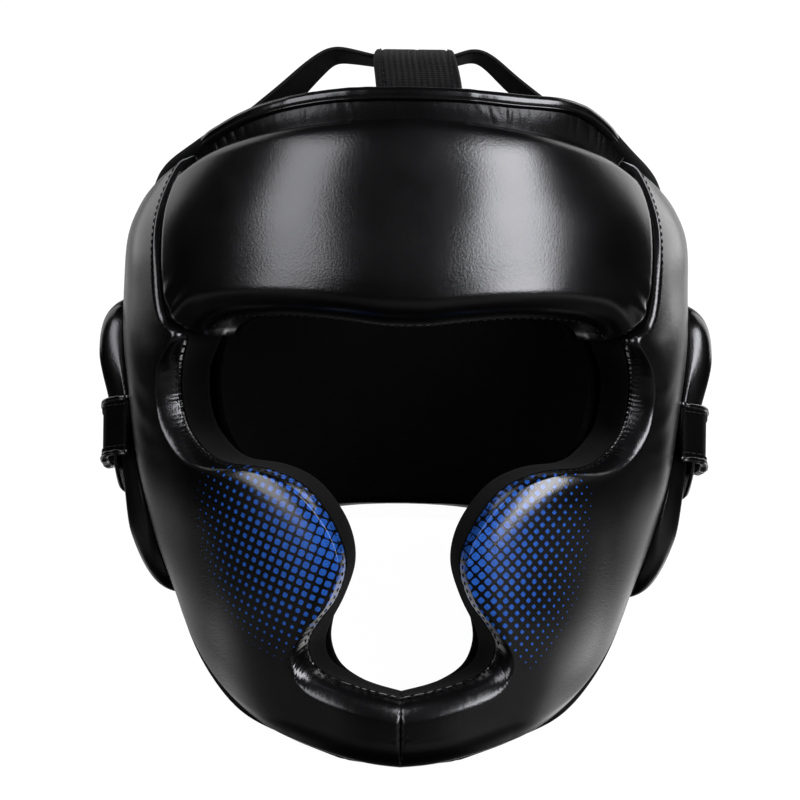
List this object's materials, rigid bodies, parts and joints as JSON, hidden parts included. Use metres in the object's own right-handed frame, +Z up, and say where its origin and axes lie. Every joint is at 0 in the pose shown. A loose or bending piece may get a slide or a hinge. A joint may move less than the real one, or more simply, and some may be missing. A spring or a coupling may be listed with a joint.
{
  "type": "full face boxing headgear",
  "caption": "Padded leather head guard with a wide forehead panel, cheek lobes, a closed chin bar, ear pads, a closure strap round the back and straps over the crown.",
  "frame": {"origin": "on the surface it rests on, under the middle of its box", "axes": "+Z up, the face towards -Y, +X to the right seen from the front"},
  "size_m": [0.2606, 0.2962, 0.2467],
  "materials": {
    "leather": "satin black with a fine grain; blue halftone dots on the cheek lobes",
    "suede": "dark grey napped suede",
    "webbing": "matte black woven webbing",
    "elastic": "black ribbed woven elastic"
  },
  "bodies": {
    "root": {"forehead_pad": "leather", "forehead_lining": "suede", "cheek_pad_left": "leather", "cheek_pad_right": "leather", "cheek_lining_left": "suede", "cheek_lining_right": "suede", "ear_pad_left": "leather", "ear_pad_right": "leather", "strap_tab_left": "leather", "strap_tab_right": "leather", "jaw_binding_left": "webbing", "jaw_binding_right": "webbing", "back_pad": "leather", "back_lining": "suede", "top_strip": "leather", "rim_binding_front": "leather", "rim_binding_rear": "webbing", "crown_strap": "elastic", "cross_strap": "webbing", "closure_strap": "leather"}
  },
  "joints": []
}
